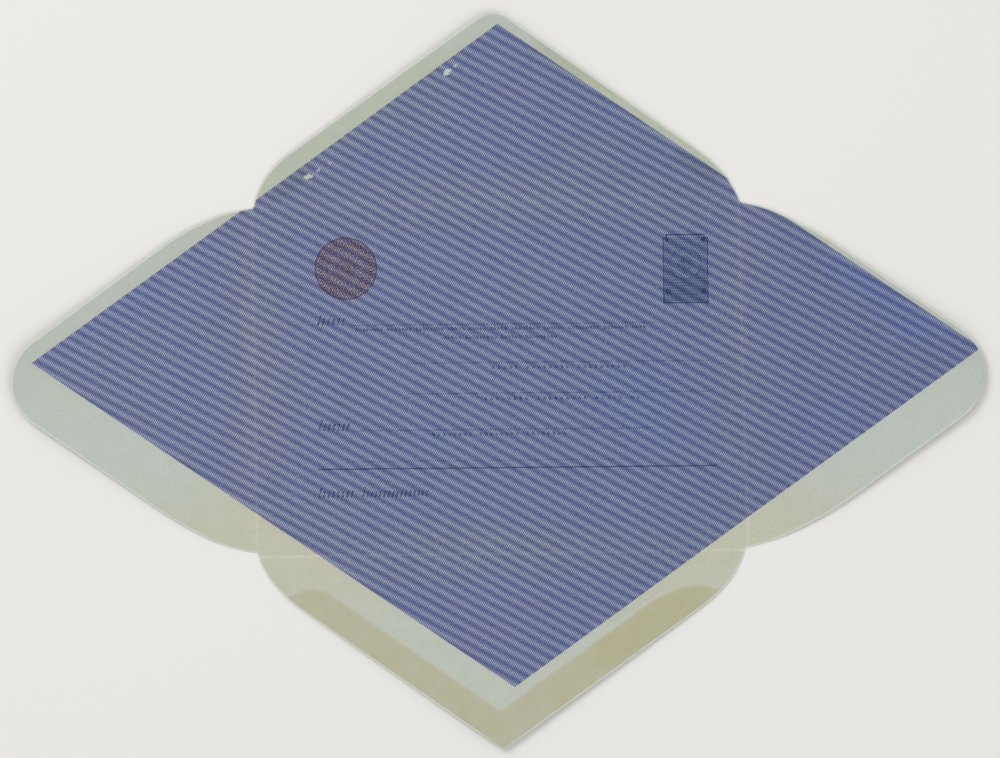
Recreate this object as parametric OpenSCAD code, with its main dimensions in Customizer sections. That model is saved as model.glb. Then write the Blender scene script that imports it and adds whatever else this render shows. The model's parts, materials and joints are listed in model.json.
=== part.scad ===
// Paper envelope, unglued and opened out flat: one die-cut sheet with a panel and four flaps.
// The printed and gummed face is up. The origin is the middle of the panel's underside,
// +X runs towards the right end flap, +Y towards the top flap and +Z is up.

/* [Panel] */
// Width of the folded envelope, between the two end creases
panel_w = 155; // [120:1:230]
// Height of the folded envelope, between the two long creases
panel_h = 111; // [85:1:165]
// Thickness of the paper
paper_t = 0.1; // [0.08:0.01:0.2]

/* [Flaps] */
// Reach of the top flap, from its crease to its tip
top_reach = 59.7; // [45:0.1:80]
// Reach of the bottom flap, which is gummed and closes the envelope
bottom_reach = 61.3; // [45:0.1:80]
// Reach of the left end flap
left_reach = 76.3; // [60:0.1:100]
// Reach of the right end flap
right_reach = 75.7; // [60:0.1:100]
// Radius at the tip of the top flap
top_tip_r = 7; // [0.5:0.1:12]
// Radius at the tip of the bottom flap, which is almost sharp
bottom_tip_r = 1; // [0.2:0.1:12]
// Radius at the blunt tips of the end flaps
end_tip_r = 17.8; // [4:0.1:24]

/* [Corner notches] */
// Depth of the upper right notch, from a flap's straight edge in to the corner of the panel
upper_right_notch = 4.8; // [3:0.1:9]
// Depth of the upper left notch
upper_left_notch = 6.4; // [3:0.1:9]
// Depth of the lower left notch
lower_left_notch = 5.2; // [3:0.1:9]
// Depth of the lower right notch
lower_right_notch = 5.8; // [3:0.1:9]
// Radius of the top flap's shoulders, where its edges curve in to the notches
top_shoulder_r = 40; // [20:0.5:60]
// Radius of the bottom flap's shoulders
bottom_shoulder_r = 43; // [20:0.5:60]
// Radius of the end flaps' longer shoulders
end_shoulder_r = 115; // [40:1:180]
// Radius of the small relief that ends each notch at the panel's corner
relief_r = 0.6; // [0.3:0.1:1.5]

/* [Creases] */
// Angle by which each flap still springs up from its crease, in degrees
flap_lift = 2; // [0.5:0.5:5]
// Width of the pressed line along a crease
crease_w = 0.8; // [0.5:0.1:1.5]
// Depth of the pressed line along a crease
crease_depth = 0.03; // [0.02:0.005:0.04]

/* [Gum] */
// Width of the dried gum along the two edges of the bottom flap
gum_w = 9.6; // [5:0.1:15]
// Distance from the crease to the rounded upper ends of the gum
gum_start = 11; // [8:0.5:20]
// Thickness of the dried gum
gum_t = 0.03; // [0.02:0.005:0.05]

/* [Print] */
// Width of the bare margin round the tinted diamond, before it was printed off its place
tint_margin = 9.6; // [5:0.1:14]
// How far the diamond lies to the right of its place on the sheet
tint_shift_x = 2.5; // [-4:0.1:4]
// How far the diamond lies above its place on the sheet
tint_shift_y = 7; // [-8:0.1:8]
// Thickness of one coat of ink
ink_t = 0.01; // [0.008:0.001:0.02]

/* [Address form] */
// Turn of the form, the postage mark and the rosette on the sheet, in degrees
print_turn = -0.3; // [-2:0.1:2]
// Distance of the form's left edge from the left crease
form_margin = 20; // [12:0.5:30]
// Width of a thin rule
rule_w = 0.3; // [0.2:0.05:0.6]
// Length of a thin rule
rule_length = 96; // [60:1:120]
// Height of the first rule above the middle of the panel
first_rule_y = 17.2; // [10:0.1:24]
// Distance between the first two rules, and between the third and the fourth
wide_pitch = 12; // [8:0.1:14]
// Distance between the second and the third rule, and between the last two
narrow_pitch = 9.7; // [8:0.1:14]
// Step to the right of the two middle rules
rule_indent = 19.5; // [5:0.5:30]
// Width of the heavy rule over the sender's address
heavy_rule_w = 0.45; // [0.3:0.05:0.8]
// Length of the heavy rule
heavy_rule_length = 126; // [80:1:140]
// Distance of the heavy rule below the last thin one
heavy_rule_gap = 2.3; // [1.5:0.1:5]
// Height of a heading word's bar
word_h = 1.8; // [1:0.1:3]
// Length of a short heading word's bar
word_length = 9; // [5:0.5:12]
// Height of a heading word's middle over its rule
word_rise = 1.3; // [1:0.1:3]
// Length of the bar that heads the sender's address
sender_length = 35; // [10:1:60]
// Distance of that bar's middle below the heavy rule
sender_gap = 7.8; // [4:0.1:12]

/* [Postage mark] */
// Width of the printed postage mark
postage_w = 14.2; // [10:0.1:20]
// Height of the printed postage mark
postage_h = 21.4; // [15:0.1:28]
// Distance of the mark from the right crease
postage_side = 10.9; // [6:0.1:20]
// Distance of the mark from the top crease
postage_top = 11.2; // [6:0.1:20]
// Width of the mark's frame lines
postage_line = 0.5; // [0.3:0.05:1]
// Size of the steps in the mark's two upper corners
postage_step = 1; // [0.5:0.1:2]
// Height of the bar at the mark's foot
postage_foot = 3; // [1.5:0.1:5]
// Radius of the round window in the mark
window_r = 4.8; // [3:0.1:6]
// Side of the lozenge in the window
lozenge = 3.8; // [1:0.1:5]

/* [Rosette] */
// Outer radius of the round rosette
rosette_r = 10; // [7:0.1:13]
// Distance of its centre from the left crease
rosette_side = 29.8; // [20:0.1:40]
// Distance of its centre from the top crease
rosette_top = 21; // [15:0.1:28]
// Width of its outer ring
rosette_ring = 0.6; // [0.4:0.05:1.2]
// Number of petals
petals = 12; // [6:1:18]
// Radius of a round petal
petal_r = 1.5; // [0.6:0.1:2]
// Distance of a petal's middle from the rosette's centre
petal_ring = 6.8; // [5:0.1:8]
// Radius of the rosette's eye
eye_r = 3; // [1:0.1:4]

/* [Hidden] */

paper_color = "#BAC0B5";
tint_color = "#6F7797";
gum_color = "#B3B199";
form_color = "#33406A";
postage_color = "#3A5075";
rosette_color = "#7A5566";

// Half sides of the panel, which are where the creases lie
end_crease = panel_w / 2;
long_crease = panel_h / 2;

// Reach of the cutting shapes past the longest flap
far = end_crease + max(left_reach, right_reach, top_reach, bottom_reach) + 10;
// Height of the cutting shapes over the raised flaps
cut_height = far * tan(flap_lift) + 5;

// Angle of one chord of a drawn arc
arc_step = 3;

// Depth that an ink or gum layer is rooted in the paper
root = paper_t / 2;

// Points of an arc round centre c from angle a0 to a1
function arc(c, r, a0, a1) =
    let (n = max(2, ceil(abs(a1 - a0) / arc_step)))
    [for (i = [0:n]) let (a = a0 + (a1 - a0) * i / n) c + r * [cos(a), sin(a)]];

function reversed(list) = [for (i = [len(list) - 1:-1:0]) list[i]];
function mirrored(list) = [for (p = list) [-p.x, p.y]];
function turned(list, a) = [for (p = list) [p.x * cos(a) - p.y * sin(a), p.x * sin(a) + p.y * cos(a)]];
function moved(list, v) = [for (p = list) p + v];

// A flap is drawn with its crease on the X axis, from -w/2 to w/2, and its tip towards +Y.
// Each straight edge touches the tip's circle and passes the end of the crease at the depth
// of the notch there.

// Direction of the outward normal of the right straight edge
function edge_angle(w, reach, tip_r, notch) =
    let (to_tip = [-w / 2, reach - tip_r])
    atan2(to_tip.y, to_tip.x) - acos((notch - tip_r) / norm(to_tip));

// Where the right straight edge would meet the flap's middle line, over the crease
function sharp_tip(w, reach, tip_r, notch) =
    reach - tip_r + tip_r / sin(edge_angle(w, reach, tip_r, notch));

// Right half of a flap's outline, from the end of the crease to the tip
function half_flap(w, reach, tip_r, shoulder_r, notch) =
    let (
        a = edge_angle(w, reach, tip_r, notch),
        normal = [cos(a), sin(a)],
        along = [sin(a), -cos(a)],
        sweep = acos((shoulder_r - notch) / shoulder_r),
        centre = [w / 2, 0] + (notch - shoulder_r) * normal - shoulder_r * sin(sweep) * along
    )
    concat(arc(centre, shoulder_r, a - sweep, a), arc([0, reach - tip_r], tip_r, a, 90));

// Outline of a flap from the right end of its crease round to just before the left end,
// where the next flap starts, turned and moved to its crease
function flap(w, reach, tip_r, shoulder_r, right_notch, left_notch, a, crease) =
    let (
        right = half_flap(w, reach, tip_r, shoulder_r, right_notch),
        left = mirrored(half_flap(w, reach, tip_r, shoulder_r, left_notch)),
        down = [for (i = [len(left) - 2:-1:1]) left[i]]
    )
    turned(moved(concat(right, down), [0, crease]), a);

function sheet_outline() = concat(
    flap(panel_w, top_reach, top_tip_r, top_shoulder_r, upper_right_notch, upper_left_notch,
        0, long_crease),
    flap(panel_h, left_reach, end_tip_r, end_shoulder_r, upper_left_notch, lower_left_notch,
        90, end_crease),
    flap(panel_w, bottom_reach, bottom_tip_r, bottom_shoulder_r, lower_left_notch,
        lower_right_notch, 180, long_crease),
    flap(panel_h, right_reach, end_tip_r, end_shoulder_r, lower_right_notch, upper_right_notch,
        270, end_crease)
);

// Outline of the whole sheet with a relief at each corner of the panel
module sheet_cut() {
    difference() {
        polygon(sheet_outline());
        for (x = [-end_crease, end_crease], y = [-long_crease, long_crease])
            translate([x, y]) circle(r = relief_r, $fn = 32);
    }
}

// Line at height h over the underside, flat on the panel and bent up at both creases
function bent_line(crease, h) =
    let (
        bend = crease - h * tan(flap_lift / 2),
        end = (far - crease) * tan(flap_lift) + h / cos(flap_lift)
    )
    [[-far, end], [-bend, h], [bend, h], [far, end]];

function layer_profile(crease, h0, h1) =
    concat(bent_line(crease, h0), reversed(bent_line(crease, h1)));

// Layer between two heights over the underside that follows the panel and its raised flaps
module bent_layer(h0, h1) {
    rotate([90, 0, 0])
        linear_extrude(height = panel_h, center = true) polygon(layer_profile(end_crease, h0, h1));
    rotate([90, 0, 90])
        linear_extrude(height = panel_w, center = true) polygon(layer_profile(long_crease, h0, h1));
}

// What a flat drawing covers of a bent layer
module on_sheet(h0, h1) {
    intersection() {
        bent_layer(h0, h1);
        translate([0, 0, -1]) linear_extrude(height = cut_height) children();
    }
}

module paper() {
    color(paper_color) on_sheet(0, paper_t) sheet_cut();
}

// Half diagonals of the diamond that the flaps' straight edges would make
mean_notch = (upper_right_notch + upper_left_notch + lower_left_notch + lower_right_notch) / 4;
blank_half_w = end_crease + (sharp_tip(panel_h, left_reach, end_tip_r, mean_notch)
    + sharp_tip(panel_h, right_reach, end_tip_r, mean_notch)) / 2;
blank_half_h = long_crease + (sharp_tip(panel_w, top_reach, top_tip_r, mean_notch)
    + sharp_tip(panel_w, bottom_reach, bottom_tip_r, mean_notch)) / 2;
// Distance of the diamond's sides from its middle
blank_inner = blank_half_w * blank_half_h / norm([blank_half_w, blank_half_h]);
tint_scale = 1 - tint_margin / blank_inner;

// Tinted diamond, which runs off the sheet beside the upper right notch
module tint() {
    color(tint_color) on_sheet(root, paper_t + ink_t) intersection() {
        sheet_cut();
        translate([tint_shift_x, tint_shift_y]) polygon(tint_scale * [
            [blank_half_w, 0], [0, blank_half_h], [-blank_half_w, 0], [0, -blank_half_h]
        ]);
    }
}

// Outline of the gum on the right of the bottom flap: a band inside the straight edge, from
// the flap's middle line to a round end below the shoulder
function gum_band(notch) =
    let (
        a = edge_angle(panel_w, bottom_reach, bottom_tip_r, notch),
        r = gum_w / 2,
        tip = [0, sharp_tip(panel_w, bottom_reach, bottom_tip_r, notch)],
        middle = tip - [0, r / sin(a)],
        inner = tip - [0, gum_w / sin(a)],
        end = middle + (middle.y - gum_start - r) / cos(a) * [sin(a), -cos(a)]
    )
    concat([tip, inner], arc(end, r, a + 180, a + 360));

module gum() {
    color(gum_color) on_sheet(root, paper_t + gum_t) intersection() {
        sheet_cut();
        rotate(180) translate([0, long_crease]) {
            polygon(gum_band(lower_left_notch));
            mirror([1, 0]) polygon(gum_band(lower_right_notch));
        }
    }
}

// What is printed on the panel in one pass, turned a little on the sheet
module on_panel() {
    rotate(print_turn) children();
}

// A bar from x to the right, centred on y
module bar(x, y, length, w) {
    translate([x, y - w / 2]) square([length, w]);
}

// Height of thin rule i, where wide and narrow steps take turns
function rule_y(i) = first_rule_y - ceil(i / 2) * wide_pitch - floor(i / 2) * narrow_pitch;

// Ruled lines for two addresses, with a plain bar where a heading word would stand
module address_form() {
    left = form_margin - end_crease;
    heavy_y = rule_y(4) - heavy_rule_gap;
    color(form_color) on_sheet(root, paper_t + 2 * ink_t) on_panel() {
        for (i = [0:4]) {
            inset = (i == 1 || i == 2) ? rule_indent : 0;
            bar(left + word_length + inset, rule_y(i), rule_length, rule_w);
        }
        for (i = [0, 3])
            bar(left, rule_y(i) + word_rise, word_length, word_h);
        bar(left, heavy_y, heavy_rule_length, heavy_rule_w);
        bar(left, heavy_y - sender_gap, sender_length, word_h);
    }
}

// Upright oblong with a step in each upper corner
module stepped_oblong(w, h, step) {
    polygon([
        [-w / 2, -h / 2], [w / 2, -h / 2], [w / 2, h / 2 - step], [w / 2 - step, h / 2 - step],
        [w / 2 - step, h / 2], [step - w / 2, h / 2], [step - w / 2, h / 2 - step],
        [-w / 2, h / 2 - step]
    ]);
}

// Ring between two radii
module ring(outer, inner) {
    difference() {
        circle(r = outer, $fn = 96);
        circle(r = inner, $fn = 96);
    }
}

// Postage mark: a stepped frame, a bar at its foot and a plain lozenge in a round window
module postage_mark() {
    inner_w = postage_w - 2 * postage_line;
    inner_h = postage_h - 2 * postage_line;
    place = [end_crease - postage_side - postage_w / 2, long_crease - postage_top - postage_h / 2];
    color(postage_color) on_sheet(root, paper_t + 2 * ink_t) on_panel() translate(place) {
        difference() {
            stepped_oblong(postage_w, postage_h, postage_step);
            stepped_oblong(inner_w, inner_h, postage_step);
        }
        translate([0, (postage_foot - inner_h) / 2]) square([inner_w, postage_foot], center = true);
        translate([0, postage_foot / 2]) {
            ring(window_r, window_r - postage_line);
            rotate(45) square(lozenge, center = true);
        }
    }
}

// Round rosette: a ring, a wreath of petals and an eye
module rosette() {
    place = [rosette_side - end_crease, long_crease - rosette_top];
    color(rosette_color) on_sheet(root, paper_t + 2 * ink_t) on_panel() translate(place) {
        ring(rosette_r, rosette_r - rosette_ring);
        for (i = [0:petals - 1])
            rotate(i * 360 / petals) translate([petal_ring, 0]) circle(r = petal_r, $fn = 24);
        circle(r = eye_r, $fn = 48);
    }
}

// Pressed lines of the four creases, each a shallow V square to the bend's bisector. The V is
// drawn this many times its depth, so that it also cuts the ink and the gum over the paper.
v_height = 3;

module crease_lines() {
    top = paper_t + (v_height - 1) * crease_depth;
    half_w = v_height * crease_w / 2;
    for (side = [0, 90, 180, 270]) {
        across = side % 180 == 0;
        crease = across ? end_crease : long_crease;
        length = across ? panel_h : panel_w;
        rotate([90, 0, side]) translate([crease, 0, 0]) rotate(flap_lift / 2)
            linear_extrude(height = length, center = true)
                polygon([[0, paper_t - crease_depth], [half_w, top], [-half_w, top]]);
    }
}

// The sheet: paper with its creases, its coats of ink and its dried gum, all in one
module envelope_sheet() {
    difference() {
        union() {
            paper();
            tint();
            gum();
            address_form();
            postage_mark();
            rosette();
        }
        crease_lines();
    }
}

envelope_sheet();
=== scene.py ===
"""Paper envelope, unglued and opened out flat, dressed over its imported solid.

One sheet of aged envelope paper lies printed face up: a panel inside four pressed creases and
four flaps that spring up a little. A tint of two crossing families of blue lines covers a large
diamond, with an address form, a postage mark and a rosette printed over it, and dried gum lies
along the two edges of the bottom flap. Lengths in the code are millimetres on the sheet, whose
origin is the middle of the panel's underside.
"""

import json
import math
from functools import partial, reduce

import bpy
import numpy as np
from bpy.props import FloatProperty, FloatVectorProperty, IntProperty, PointerProperty
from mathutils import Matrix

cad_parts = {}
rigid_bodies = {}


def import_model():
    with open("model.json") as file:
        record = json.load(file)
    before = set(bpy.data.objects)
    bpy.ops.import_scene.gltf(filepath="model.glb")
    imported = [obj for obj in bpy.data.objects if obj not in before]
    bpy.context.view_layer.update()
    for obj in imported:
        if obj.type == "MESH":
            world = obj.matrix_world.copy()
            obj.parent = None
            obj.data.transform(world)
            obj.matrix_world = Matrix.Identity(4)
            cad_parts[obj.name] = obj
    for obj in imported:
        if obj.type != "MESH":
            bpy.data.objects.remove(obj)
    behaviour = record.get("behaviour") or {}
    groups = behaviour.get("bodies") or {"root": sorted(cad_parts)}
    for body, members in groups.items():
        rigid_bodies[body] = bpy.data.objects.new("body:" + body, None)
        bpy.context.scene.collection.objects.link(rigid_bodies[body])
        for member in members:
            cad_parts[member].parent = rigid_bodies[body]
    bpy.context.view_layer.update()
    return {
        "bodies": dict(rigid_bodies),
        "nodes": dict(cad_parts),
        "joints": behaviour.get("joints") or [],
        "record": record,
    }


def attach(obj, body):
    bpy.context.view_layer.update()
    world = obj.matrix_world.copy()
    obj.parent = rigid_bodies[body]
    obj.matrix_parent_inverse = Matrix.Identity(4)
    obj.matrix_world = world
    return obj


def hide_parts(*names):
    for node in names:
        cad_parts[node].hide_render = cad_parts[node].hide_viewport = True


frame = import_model()

bl_info = {
    "name": "Opened Paper Envelope",
    "version": (1, 0, 0),
    "blender": (4, 5, 0),
    "location": "View3D > Sidebar > Envelope",
    "description": "Builds a printed paper envelope that is unglued and opened out flat",
    "category": "Add Mesh",
}

BODY = "root"
SHEET_NODE = "envelope_sheet"
MM = 1000.0


def from_hex(code):
    """Linear colour of an sRGB hex code: each channel goes through the sRGB curve's inverse."""
    channels = [int(code[i : i + 2], 16) / 255 for i in (1, 3, 5)]
    return tuple(c / 12.92 if c <= 0.04045 else ((c + 0.055) / 1.055) ** 2.4 for c in channels)


def length(name, description, mm):
    """Property for a length: its default is given in millimetres and kept in metres."""
    return FloatProperty(
        name=name, description=description, default=mm / MM, unit="LENGTH", precision=5
    )


def colour(name, description, code):
    """Property for a colour, whose default is given as an sRGB hex code."""
    return FloatVectorProperty(
        name=name, description=description, default=from_hex(code), subtype="COLOR", min=0, max=1
    )


class EnvelopeSizes(bpy.types.PropertyGroup):
    """Sizes of the sheet and of what is on it"""

    panel_w: length("Panel width", "Distance between the two end creases", 155)
    panel_h: length("Panel height", "Distance between the two long creases", 111)
    paper_t: length("Paper thickness", "Thickness of the paper", 0.1)
    flap_lift: FloatProperty(
        name="Flap lift",
        description="Angle by which each flap springs up from its crease",
        default=math.radians(2),
        subtype="ANGLE",
    )
    cockle: length("Cockle", "Height of the paper's gentle waves", 0.16)
    grid: length("Grid", "Largest distance between points of the sheet", 1.6)
    ink_t: length("Ink thickness", "How far the ink stands over the paper", 0.012)
    gum_t: length("Gum thickness", "How far the dried gum stands over the paper", 0.012)
    gum_w: length("Gum width", "Width of the gum along the bottom flap's edges", 9.6)
    tint_pitch: length("Tint pitch", "Distance between the lines of the tint", 0.5962)
    dot_pitch: length("Dot pitch", "Distance between the dots of a rule", 0.84)
    dot_d: length("Dot size", "Diameter of a dot", 0.42)
    petals: IntProperty(
        name="Petals", description="Number of waves round the rosette", default=12, min=4, max=24
    )


class EnvelopeColours(bpy.types.PropertyGroup):
    """Colours of the paper, the gum and the inks"""

    paper: colour("Paper", "Bare paper of the lower margins", "#B9C1BA")
    paper_dull: colour("Dull paper", "Bare paper of the end flaps' upper margins", "#B4BBB3")
    paper_grey: colour("Grey paper", "Bare paper of the top flap's margins", "#B2B9AB")
    paper_warm: colour("Toned paper", "Bare paper toned beside the creases", "#BDBEAB")
    cut: colour("Cut edge", "Paper along the cut edge, which catches the light", "#DDE1D9")
    worn: colour("Worn crease", "Paper rubbed along a crease", "#D0CCBB")
    scuff: colour("Scuff", "Paper laid bare by a scuff", "#C5CAC2")
    back: colour("Back", "Unprinted back of the paper", "#BEC3B8")
    tint_gap: colour("Tint gap", "Paper between the lines of the tint", "#A6B3BF")
    tint_ink: colour("Tint ink", "Ink of the tint", "#485082")
    gum: colour("Gum", "Dried gum", "#B3B39C")
    form_ink: colour("Form ink", "What dark blue ink lets through", "#7A89AC")
    postage_ink: colour("Postage ink", "What teal blue ink lets through", "#74A6C6")
    rosette_ink: colour("Rosette ink", "What brown-red ink lets through", "#FAAC91")
    rim_ink: colour("Rim ink", "What the rosette's dark brown lines let through", "#A07C80")
    floor: colour("Floor", "Plain pale floor", "#E9E8E4")


# Each flap as it was cut, drawn with its crease on the X axis and its tip towards +Y: reach, tip
# radius, right and left shoulder radius, right and left notch depth, sideways lean of the tip,
# and the turn in degrees that takes it to its own side of the panel
FLAPS = {
    "top": (59.65, 8.2, 47, 34, 4.85, 6.5, -0.35, 0),
    "left": (76.1, 15.9, 76.6, 120, 6.3, 5.08, 0.8, 90),
    "bottom": (61.3, 1.7, 45, 43, 5.35, 5.9, 0.45, 180),
    "right": (75.58, 16.95, 130, 130, 5.75, 4.74, 0.44, 270),
}
# Ends of the four notches: the innermost point, then the points from there out along the flap
# beyond the long crease and along the flap beyond the end crease. The upper left one is torn,
# the lower left one is snipped across and the lower right one is rounded.
NOTCH_ENDS = {
    ("right", "top"): (
        (77, 54.8),
        ((76.72, 55.35), (76.4, 56.1), (75.77, 57.36))
        + ((75.03, 58.81), (74.22, 60.21), (73.31, 61.5)),
        ((77.4, 54.58), (78.15, 54.37), (79.7, 54), (81.24, 53.6), (83.22, 53.04), (85.63, 52.27)),
    ),
    ("left", "top"): (
        (-77.15, 54.93),
        ((-76.85, 55.35), (-76.6, 55.85), (-76.58, 56.4), (-76.24, 57.64), (-75.77, 59.05))
        + ((-75.16, 60.36), (-74.52, 61.62), (-73.73, 63.06)),
        ((-77.9, 54.85), (-78.48, 54.74), (-80.06, 54.47), (-81.68, 54.22), (-83.2, 53.88))
        + ((-85.66, 53.23), (-88.08, 52.52)),
    ),
    ("left", "bottom"): (
        (-77.15, -54.5),
        ((-76.66, -55.4), (-76.65, -55.9), (-76.24, -57.08), (-75.63, -58.37), (-74.87, -59.8))
        + ((-74.05, -61.2), (-73.19, -62.54)),
        ((-77.75, -53.84), (-78.26, -53.78), (-79.92, -53.52), (-81.47, -53.17), (-83.25, -52.69))
        + ((-85.66, -51.93), (-88.02, -51.1), (-90.32, -50.22), (-92.59, -49.32)),
    ),
    ("right", "bottom"): (
        (77, -54.85),
        ((76.68, -55.4), (76.57, -56.04), (76.11, -57.46), (75.51, -58.77), (74.86, -60.03))
        + ((74.04, -61.42), (73.17, -62.78)),
        ((77.35, -54.52), (78.11, -54.39), (79.62, -54.04), (81.08, -53.62), (83.03, -53.05))
        + ((85.4, -52.3), (87.74, -51.5), (90.03, -50.67)),
    ),
}
# Length of each crease's end that turns to its notch
NOTCH_RUN = 3
# Depth of a pressed crease, and the distance from its middle over which it fades
PRESS_DEPTH, PRESS_W = 0.03, 0.35
# Distances from a crease at which grid lines lie close together
CREASE_STEPS = np.array([0, 0.15, 0.4, 0.8, 1.5, 2.4, 3.6])

# Corners of the tinted diamond: left, top, right and bottom
DIAMOND = ((-147.46, 7.05), (1.11, 111.9), (152.13, 7.33), (3.4, -97.55))
# The tint's two families of lines: direction of the lines in degrees and phase in cycles
TINT_FAMILIES = ((54.11, 0.1374), (65.93, 0.5163))

# The form, the postage mark and the rosette were printed in one pass, turned a little
PRINT_TURN = math.radians(-0.3)
# How far a coat reaches down into the paper, and how much higher a second coat lies
ROOT, SECOND_COAT = 0.04, 0.004
# Dotted rules: left end, right end, height and how heavily they are inked
DOTTED_RULES = (
    (-48.3, 49.6, 17.18, 1.0),
    (-28.6, 66.8, 5.03, 1.0),
    (-28.7, 66.6, -4.65, 1.0),
    (-46.6, 49.1, -16.09, 1.0),
    (-46.4, 44.2, -25.88, 0.78),
)
HEAVY_RULE = (-57.5, 68.5, -28.2, 0.4)
# Heading marks, each a slanted zigzag: left end, right end, foot, height and pitch of the strokes
HEADING_MARKS = (
    (-57.2, -48.6, 17.2, 2.3, 1.35),
    (-57.2, -47.4, -16.1, 2.3, 1.4),
    (-57.4, -46.2, -37.1, 2.0, 1.25),
    (-43.6, -22.6, -37.1, 2.0, 1.25),
)
# Rows of small upright ticks under the rules: left end, right end, foot, height and pitch
TICK_ROWS = (
    (-45, 46, 15.3, 1.15, 1.12),
    (-17, 19, 12.6, 1.1, 1.12),
    (-2, 42, 3.0, 1.15, 1.8),
    (-4.5, 44, -6.9, 1.15, 1.85),
    (-21, 23, -18.0, 1.15, 1.65),
)
# Zones of the tint that are toned olive, that stayed bluer and that turned violet with age:
# x, y, half width, half height, turn and strength
OLIVE_ZONES = (
    (-73, 5, 13, 56, 0, 0.5),
    (-4, -53, 58, 12, 0, 0.55),
    (-54, -40, 26, 13, 10, 0.35),
    (73, 22, 8, 34, 0, 0.35),
    (1, 61, 74, 8, 0, 0.45),
    (-20.5, 86, 24, 12, 35, 0.4),
    (-36, 83, 44, 6, 35.6, 0.8),
    (30, 71.5, 15, 10, 0, 0.7),
    (46, 77.5, 12, 6, -35, 0.3),
    (13.5, 30.5, 24, 12, 0, 0.3),
)
BLUE_ZONES = (
    (-122, 25, 34, 12, 35, 0.8),
    (133, 16, 32, 14, -35, 1.0),
    (118, 28, 34, 10, -35, 1.0),
    (104.5, -15, 24, 13, 35, 0.6),
    (47.5, -8, 28, 32, 0, 0.6),
    (-19, -16, 16, 10, 0, 0.5),
)
VIOLET_ZONES = ((-1, -80, 32, 18, 0, 0.7), (5, 87.5, 12, 9, 0, 0.5))
# Pale bands where the ink is thin along three of the creases, in the same terms
PALE_BANDS = (
    (-78.7, 8, 3.4, 70, 0, 0.95),
    (-2, 55.2, 100, 3.0, 0, 0.85),
    (76.6, 24, 3.0, 44, 0, 0.75),
)
# Lines of wear along the creases: axis that they cross, place on it in the middle of the panel,
# slope and strength
WORN_LINES = (
    ("Y", -55.3, 0, 1.0),
    ("X", -77.2, 0, 0.8),
    ("X", 77.0, -0.013, 0.8),
    ("Y", 55.6, 0, 0.3),
)
# Scuffs to white paper, and brown stains, in the same terms as the zones
SCUFFS = (
    (-14.9, 96.8, 1.5, 0.9, 20, 0.9),
    (-12.3, 98.7, 0.8, 0.4, 30, 0.6),
    (-59.3, 64.6, 1.7, 0.9, 10, 0.9),
    (-56.1, 66.5, 0.9, 0.4, 30, 0.6),
    (-52.3, 68.9, 0.7, 0.4, 0, 0.5),
)
STAINS = (
    (-64.5, 62.5, 9, 2.4, 35, 0.6),
    (63, 66, 8, 2.6, -34.7, 0.7),
    (26, 98.5, 17, 3.4, -35, 0.55),
    (-62.5, 71, 9, 2.2, 34, 0.16),
    (42, -73, 10, 3, 33, 0.2),
)
# The gum along the left and along the right edge of the bottom flap: its width at the tip and at
# the upper end as shares of the gum width, and the distances from the tip at which its rounded
# end starts and stops
GUM = ((1.1, 1.05, 73, 83.8), (1.21, 1.21, 62, 84.8))
# The part of the gum that is browner, in the same terms as the stains
DEEP_GUM = ((47, -77, 24, 9, 35, 1.0),)
# Middle of the postage mark, its width and height, and middle and radius of the rosette
POSTAGE = (59.15, 34.05, 13.9, 21.45)
ROSETTE = (-48.1, 35.1, 9.85)


def points_at(x, y):
    """Points from their places across and up, of which one may be the same for all."""
    return np.column_stack(np.broadcast_arrays(x, y))


def circle(turn):
    """Points of a circle with a radius of 1: the cosine and the sine of an angle."""
    return points_at(np.cos(turn), np.sin(turn))


def arc(centre, radius, start, end, count=48):
    """Points of an arc: its centre plus the radius times the points of a circle."""
    return np.asarray(centre) + radius * circle(np.linspace(start, end, count))


def turned(points, angle):
    """Points turned about the origin by an angle in radians."""
    c, s = math.cos(angle), math.sin(angle)
    return points @ np.array([[c, s], [-s, c]])


def edge_angle(w, reach, tip_r, notch):
    """Direction of the outward normal of a flap's right straight edge, which touches the tip's
    circle and passes the crease's end at the depth of the notch."""
    x, y = -w / 2, reach - tip_r
    return math.atan2(y, x) - math.acos((notch - tip_r) / math.hypot(x, y))


def half_flap(w, reach, tip_r, shoulder_r, notch):
    """Right half of a flap's outline from the crease to the tip: a shoulder arc that curves out
    of the notch, the straight edge and the arc of the tip."""
    a = edge_angle(w, reach, tip_r, notch)
    normal = np.array([math.cos(a), math.sin(a)])
    along = np.array([math.sin(a), -math.cos(a)])
    sweep = math.acos((shoulder_r - notch) / shoulder_r)
    centre = [w / 2, 0] + (notch - shoulder_r) * normal - shoulder_r * math.sin(sweep) * along
    shoulder = arc(centre, shoulder_r, a - sweep, a)
    return np.vstack((shoulder, arc([0, reach - tip_r], tip_r, a, math.pi / 2)))


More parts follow.
